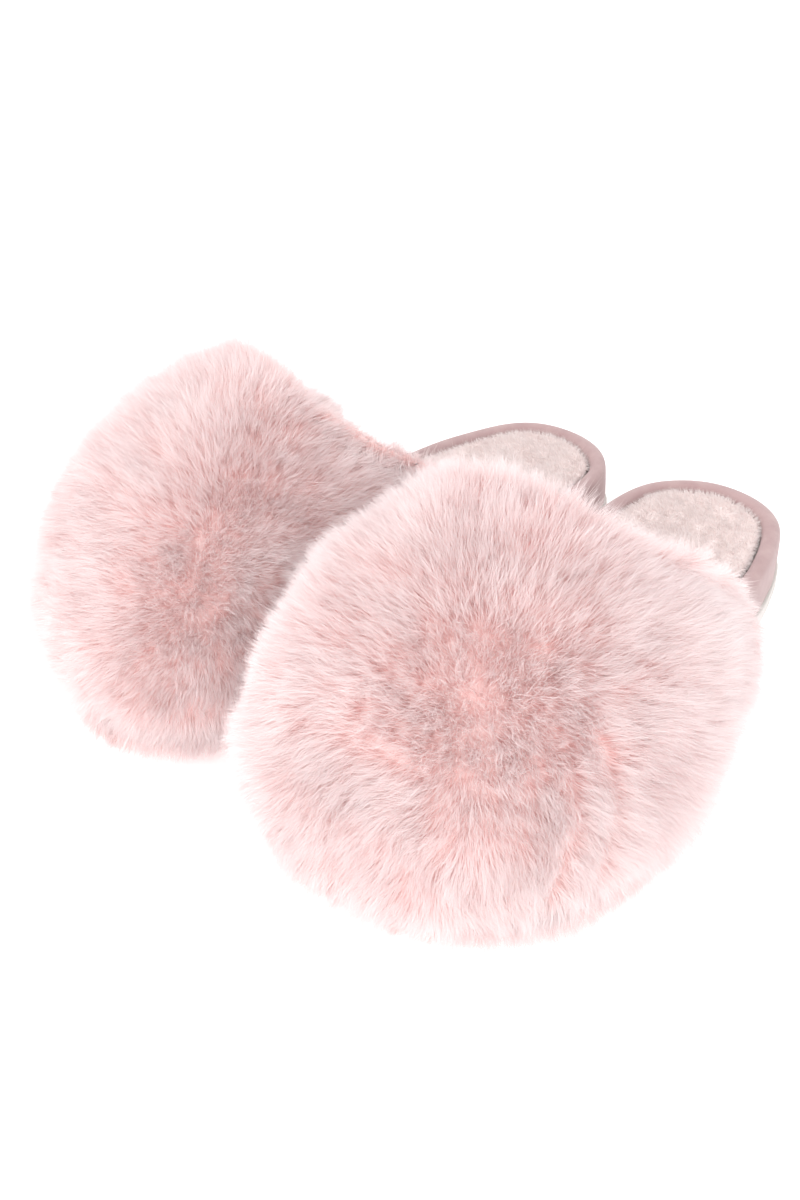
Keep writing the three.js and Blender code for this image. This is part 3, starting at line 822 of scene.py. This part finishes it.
def footbed_nap(prefix, pad):
    """The plush of the footbed: dense where the foot goes in, sparse deep under the vamp."""
    toe_way = to_row(prefix, np.array([[0, -1.0, 0]])) - to_row(prefix, np.zeros((1, 3)))
    mouth = THROAT_Y - COVERED_REACH
    parts = []
    for opened, count in ((True, NAP_COUNT_OPEN), (False, NAP_COUNT_COVERED)):
        def weights(middle, normal, opened=opened):
            seen = (to_own(prefix, middle)[:, 1] > mouth) == opened
            return seen & (normal[:, 2] > 0.05)
        nap = brush_nap(pad, weights, count, NAP_LENGTH, NAP_WIDTH, toe_way, NAP_SEED[prefix])
        parts.append(nap)
    root, tip, width, tone = (np.concatenate(arrays) for arrays in zip(*parts))
    piece = nap_mesh(prefix + "_footbed_nap", root, tip, width, tone)
    piece.data.materials.append(NAP_FINISH)
    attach(piece, prefix + "_slipper")
    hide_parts(prefix + "_footbed_plush")
    print(piece.name, len(root), "strands")

PAD_FINISH = mottled_material(
    "footbed_ground", (0.83, 0.74, 0.72), (0.89, 0.80, 0.785), 160, 0.9, 0.6, 1800, 0.2
)
NAP_FINISH = strand_material(
    "footbed_plush_nap", (0.87, 0.78, 0.765), (0.92, 0.855, 0.845), (0.95, 0.915, 0.912),
    ((0.93, 0.915, 0.91), (1, 1, 1)), 0.8, 0.3,
)
for prefix in SIDES:
    footbed_nap(prefix, soft_pad(prefix))

# %% [markdown]
# Round the heel a bar of foam is wrapped in velour and sewn down as a raised rim. Velour has a
# dense nap that's too short to see as strands, but it catches light along its edges, so its
# finish has sheen, a fine grain, and a slow mottle where the nap was brushed. The cover is a
# copy of its solid with the triangles joined to quads, rounded by a subdivision surface, and
# then moved a little by slow noise, because a hand-turned rim is never quite even.

# %% Heel binding
COVER_UNEVEN = 0.22 * MM
COVER_WAVE = 30 * MM

def quads_of(piece):
    """Joins a copied solid's triangles to quads, so that a subdivision surface runs evenly."""
    edit(piece)
    bpy.ops.mesh.select_all(action="SELECT")
    bpy.ops.mesh.tris_convert_to_quads(
        face_threshold=math.radians(50), shape_threshold=math.radians(60)
    )
    bpy.ops.object.mode_set(mode="OBJECT")

def uneven(piece, amount, size, seed):
    """Moves each vertex a little along its normal by slow noise."""
    mesh = piece.data
    normals = np.array([v.normal[:] for v in mesh.vertices])
    places = np.array([v.co[:] for v in mesh.vertices])
    places = places + normals * (amount * waves(places, size, 6, seed))[:, None]
    mesh.vertices.foreach_set("co", places.astype(np.float32).ravel())
    mesh.update()

def cloth_cover(prefix, node, name, finish, levels, seed):
    """A rounded and slightly uneven copy of a CAD node, in cloth."""
    piece = copy_of(prefix + "_" + node, prefix + "_" + name)
    quads_of(piece)
    apply_modifier(piece, "SUBSURF", levels=levels, render_levels=levels)
    uneven(piece, COVER_UNEVEN, COVER_WAVE, seed)
    piece.data.shade_smooth()
    piece.data.materials.append(finish)
    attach(piece, prefix + "_slipper")
    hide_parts(prefix + "_" + node)
    print(piece.name, len(piece.data.polygons), "faces")
    return piece

VELOUR_FINISH = mottled_material(
    "rim_velour", (0.41, 0.27, 0.27), (0.49, 0.345, 0.34), 120, 0.75, 0.35, 5200, 0.25
)
for prefix in SIDES:
    rim = cloth_cover(prefix, "heel_binding", "rim_cover", VELOUR_FINISH, 2, 5)

# %% [markdown]
# Inside, the vamp is lined with a short-pile knit, and a woven tape is folded over the throat's
# edge to close fur, foam and lining. Both are seen only from behind, under the hanging pile.
# The same tape is sewn as a short strip over each end of the vamp, where foam and lining would
# show beside the rim. A strip is the hull of the corners that it has to cover.

# %% Lining and tape
LINING_NAP_COUNT = 26000
LINING_NAP_REACH = 55 * MM
LINING_NAP_LENGTH = 3 * MM
LINING_NAP_FLOOR = 20 * MM
POCKET_MIDDLE = (0, -60 * MM, 22 * MM)
LINING_FINISH = mottled_material(
    "lining_knit", (0.62, 0.42, 0.42), (0.72, 0.52, 0.51), 150, 0.9, 0.7, 2400, 0.3
)
LINING_NAP_FINISH = strand_material(
    "lining_nap", (0.60, 0.40, 0.40), (0.74, 0.55, 0.54), (0.84, 0.68, 0.67),
    ((0.90, 0.87, 0.87), (1, 1, 1)), 0.8, 0.3,
)
TAPE_FINISH = mottled_material(
    "tape_twill", (0.40, 0.26, 0.27), (0.46, 0.31, 0.32), 200, 0.8, 0.8, 0, 0.3, 420
)

def lining_nap(prefix, lining):
    """Nap on the inner side of the lining, near enough to the throat to be seen."""
    middle_of_pocket = to_row(prefix, np.array([POCKET_MIDDLE]))
    deepest = THROAT_Y - LINING_NAP_REACH

    def weights(middle, normal):
        inward = ((middle_of_pocket - middle) * normal).sum(1) > 0
        near = to_own(prefix, middle)[:, 1] > deepest
        return inward & near & (middle[:, 2] > LINING_NAP_FLOOR)

    out_way = to_row(prefix, np.array([[0, 1.0, -0.6]])) - to_row(prefix, np.zeros((1, 3)))
    root, tip, width, tone = brush_nap(
        lining, weights, LINING_NAP_COUNT, LINING_NAP_LENGTH, NAP_WIDTH, unit(out_way), 91
    )
    piece = nap_mesh(prefix + "_lining_nap", root, tip, width, tone)
    piece.data.materials.append(LINING_NAP_FINISH)
    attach(piece, prefix + "_slipper")
    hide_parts(prefix + "_upper_lining")

CORNER_Y = 22 * MM
END_STRIP_BEHIND = 1.1 * MM
END_STRIP_AHEAD = 0.2 * MM
END_STRIP_OVERLAP = 0.8 * MM
END_STRIP_DEPTH = 9 * MM

def end_strips(prefix):
    """Tape sewn over the two ends of the vamp's foam and lining, from the rim to the throat."""
    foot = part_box(prefix + "_heel_binding")[1].z - END_STRIP_DEPTH
    found = []
    for layer in ("_upper_interlining", "_upper_lining"):
        points = to_own(prefix, np.array([v.co[:] for v in NODES[prefix + layer].data.vertices]))
        found.append(points[(points[:, 1] > CORNER_Y - 0.6 * MM) & (points[:, 2] > 6 * MM)])
    points = np.concatenate(found)
    strips = []
    for side in (-1, 1):
        near = points[np.sign(points[:, 0]) == side]
        bm = bmesh.new()
        middle = np.abs(near[:, 0]).mean()
        for x, _, z in near:
            wide = END_STRIP_OVERLAP * (1 if abs(x) > middle else -1)
            for back in (-END_STRIP_AHEAD, END_STRIP_BEHIND):
                bm.verts.new((x + side * wide, CORNER_Y + back, max(z, foot)))
        bmesh.ops.convex_hull(bm, input=bm.verts)
        mesh = bpy.data.meshes.new(prefix + "_end_strip")
        bm.to_mesh(mesh)
        bm.free()
        mesh.transform(OWN[prefix])
        if SIDES[prefix] < 0:
            mesh.flip_normals()
        name = prefix + ("_outer" if side > 0 else "_inner") + "_end_strip"
        piece = bpy.data.objects.new(name, mesh)
        bpy.context.scene.collection.objects.link(piece)
        edit(piece)
        bpy.ops.mesh.select_all(action="SELECT")
        bpy.ops.mesh.remove_doubles(threshold=0.05 * MM)
        bpy.ops.mesh.delete_loose()
        bpy.ops.mesh.select_all(action="SELECT")
        bpy.ops.mesh.normals_make_consistent(inside=False)
        bpy.ops.mesh.dissolve_limited(angle_limit=math.radians(4))
        bpy.ops.object.mode_set(mode="OBJECT")
        apply_modifier(piece, "BEVEL", width=0.35 * MM, segments=3, limit_method="ANGLE")
        piece.data.shade_smooth()
        piece.data.materials.append(TAPE_FINISH)
        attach(piece, prefix + "_slipper")
        strips.append(piece)
    print(prefix, "end strips:", [len(o.data.polygons) for o in strips], "faces")

for prefix in SIDES:
    end_strips(prefix)
    lining = cloth_cover(
        prefix, "upper_lining", "lining_cloth", LINING_FINISH, 1, 6
    )
    lining_nap(prefix, lining)
    tape = cloth_cover(prefix, "topline_tape", "throat_tape", TAPE_FINISH, 1, 7)

# %% [markdown]
# The outsole is one moulded piece of off-white rubber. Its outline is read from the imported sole
# and made smooth, a circle of corners is moved onto it and extruded, the side wall gets a
# shallow band, and the edges are rounded. The tread is a set of wavy bars that are cut away.

# %% Outsole
SOLE_CORNERS = 224
SOLE_EDGE = 0.9 * MM
BAND_INSET = 1.3 * MM
BAND_DEPTH = 0.35 * MM
TREAD_DEPTH = 1.6 * MM
TREAD_WIDTH = 3.4 * MM
TREAD_PITCH = 20 * MM
TREAD_WAVE = 2.5 * MM
TREAD_MARGIN = 10 * MM
TREAD_FROM_TOE = 30 * MM
TREAD_FROM_END = 26 * MM
TREAD_ROWS_TOE = 5
TREAD_ROWS_HEEL = 3
TREAD_CUTS = 31
WIDEST_Z = 1 * MM

def sole_outline(prefix):
    """The sole's widest section in the slipper's own frame, as evenly turned smooth corners."""
    points = np.array([v.co[:] for v in NODES[prefix + "_outsole"].data.vertices])
    own = to_own(prefix, points)
    ring = own[np.abs(own[:, 2] - WIDEST_Z) < 0.01 * MM][:, :2]
    ring = np.unique(ring.round(6), axis=0)
    ring = ring[np.argsort(np.arctan2(ring[:, 1], ring[:, 0]))]
    before, after, last = np.roll(ring, 1, 0), np.roll(ring, -1, 0), np.roll(ring, -2, 0)
    steps = SOLE_CORNERS // len(ring)
    out = []
    for i in range(steps):
        t = i / steps
        out.append(
            0.5 * (2 * ring + (after - before) * t
                   + (2 * before - 5 * ring + 4 * after - last) * t**2
                   + (3 * ring - before - 3 * after + last) * t**3)
        )
    return np.stack(out, 1).reshape(-1, 2)

def tread_cutter(prefix, outline):
    """Wavy bars across the sole, clear of its edges, with the waist left flat."""
    toe, end = outline[:, 1].min(), outline[:, 1].max()
    rows = [toe + TREAD_FROM_TOE + i * TREAD_PITCH for i in range(TREAD_ROWS_TOE)]
    rows += [end - TREAD_FROM_END - i * TREAD_PITCH for i in range(TREAD_ROWS_HEEL)]
    bars = []
    for y in rows:
        near = outline[np.abs(outline[:, 1] - y) < 5 * MM]
        right = near[near[:, 0] > 0, 0].min() - TREAD_MARGIN
        left = near[near[:, 0] < 0, 0].max() + TREAD_MARGIN
        bpy.ops.mesh.primitive_cube_add(size=1)
        bar = bpy.context.active_object
        bar.scale = (right - left, TREAD_WIDTH, 2 * TREAD_DEPTH)
        bar.location = ((right + left) / 2, y, 0)
        bpy.ops.object.transform_apply(location=True, rotation=False, scale=True)
        bm = bmesh.new()
        bm.from_mesh(bar.data)
        long_edges = [e for e in bm.edges if abs((e.verts[0].co - e.verts[1].co).x) > 10 * MM]
        bmesh.ops.subdivide_edges(bm, edges=long_edges, cuts=TREAD_CUTS, use_grid_fill=True)
        for v in bm.verts:
            v.co.y += TREAD_WAVE * math.sin((v.co.x - left) / (right - left) * 4 * math.pi)
        bm.to_mesh(bar.data)
        bm.free()
        bars.append(bar)
    bpy.ops.object.select_all(action="DESELECT")
    for bar in bars:
        bar.select_set(True)
    bpy.context.view_layer.objects.active = bars[0]
    bpy.ops.object.join()
    bars[0].data.transform(OWN[prefix])
    if SIDES[prefix] < 0:
        bars[0].data.flip_normals()
    return bars[0]

def moulded_sole(prefix):
    """The outsole, with a shallow band round its side, rounded edges and a tread."""
    outline = sole_outline(prefix)
    low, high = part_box(prefix + "_outsole")
    bpy.ops.object.select_all(action="DESELECT")
    bpy.ops.mesh.primitive_circle_add(vertices=len(outline), fill_type="NGON", radius=0.1)
    piece = bpy.context.active_object
    piece.name = prefix + "_moulded_sole"
    flat = np.concatenate([outline, np.zeros((len(outline), 1))], 1)
    for vertex, place in zip(piece.data.vertices, to_row(prefix, flat)):
        vertex.co = place
    edit(piece)
    bpy.ops.mesh.select_all(action="SELECT")
    bpy.ops.mesh.extrude_region_move(TRANSFORM_OT_translate={"value": (0, 0, high.z - low.z)})
    bpy.ops.mesh.select_all(action="SELECT")
    bpy.ops.mesh.normals_make_consistent(inside=False)
    select_faces(piece, lambda normal, middle: abs(normal.z) < 0.5)
    bpy.ops.mesh.inset(thickness=BAND_INSET, depth=-BAND_DEPTH, use_boundary=True)
    bpy.ops.object.mode_set(mode="OBJECT")
    apply_modifier(
        piece, "BEVEL", width=SOLE_EDGE, segments=3,
        limit_method="ANGLE", angle_limit=math.radians(60),
    )
    cutter = tread_cutter(prefix, outline)
    apply_modifier(piece, "BOOLEAN", operation="DIFFERENCE", object=cutter, solver="EXACT")
    bpy.data.objects.remove(cutter)
    piece.data.shade_smooth()
    bpy.context.view_layer.objects.active = piece
    piece.select_set(True)
    bpy.ops.object.shade_smooth_by_angle(angle=math.radians(35))
    piece.data.materials.append(SOLE_FINISH)
    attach(piece, prefix + "_slipper")
    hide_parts(prefix + "_outsole")
    print(piece.name, len(piece.data.polygons), "faces")

SOLE_FINISH = mottled_material(
    "sole_rubber", (0.66, 0.62, 0.59), (0.74, 0.71, 0.68), 60, 0.55, 0.25, 2600
)
for prefix in SIDES:
    moulded_sole(prefix)

# %% [markdown]
# The pieces that nobody sees still say what they are: foam has open cells, the insole board is
# pressed fibre, and the sewing thread is twisted.

# %% Finishes of the hidden pieces
HIDDEN_FINISHES = {
    "sole_stitch_thread": mottled_material(
        "twisted_thread", (0.60, 0.52, 0.50), (0.72, 0.64, 0.62), 500, 0.7, 0.8, 0, 0.2, 900
    ),
    "midsole": mottled_material(
        "midsole_foam", (0.62, 0.59, 0.55), (0.70, 0.67, 0.63), 200, 0.85, 0.4, 1500
    ),
    "insole_board": mottled_material(
        "fibre_board", (0.34, 0.25, 0.16), (0.48, 0.37, 0.25), 260, 0.85, 0.5, 1200
    ),
    "memory_foam": mottled_material(
        "open_foam", (0.62, 0.51, 0.46), (0.72, 0.61, 0.55), 300, 0.95, 0.8, 1600
    ),
}
HIDDEN_FINISHES["heel_rim_foam"] = HIDDEN_FINISHES["memory_foam"]
HIDDEN_FINISHES["upper_interlining"] = mottled_material(
    "tinted_foam", (0.46, 0.32, 0.32), (0.54, 0.39, 0.39), 300, 0.95, 0.8, 1600
)
for prefix in SIDES:
    for node, finish in HIDDEN_FINISHES.items():
        NODES[prefix + "_" + node].material_slots[0].material = finish
print("finished in place:", sorted(HIDDEN_FINISHES))

# %% [markdown]
# At the end the whole is measured again and both boxes are printed. The pieces reach past the
# imported model by the length of loose pile.

def keep_sizes():
    """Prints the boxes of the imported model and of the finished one."""
    sizes = {"cad": [list(c) for c in CAD_BOX], "visual": [list(c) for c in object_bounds()]}
    for name, (low, high) in sizes.items():
        print(name, "box, mm:", [round(x / MM, 1) for x in (*low, *high)])

keep_sizes()
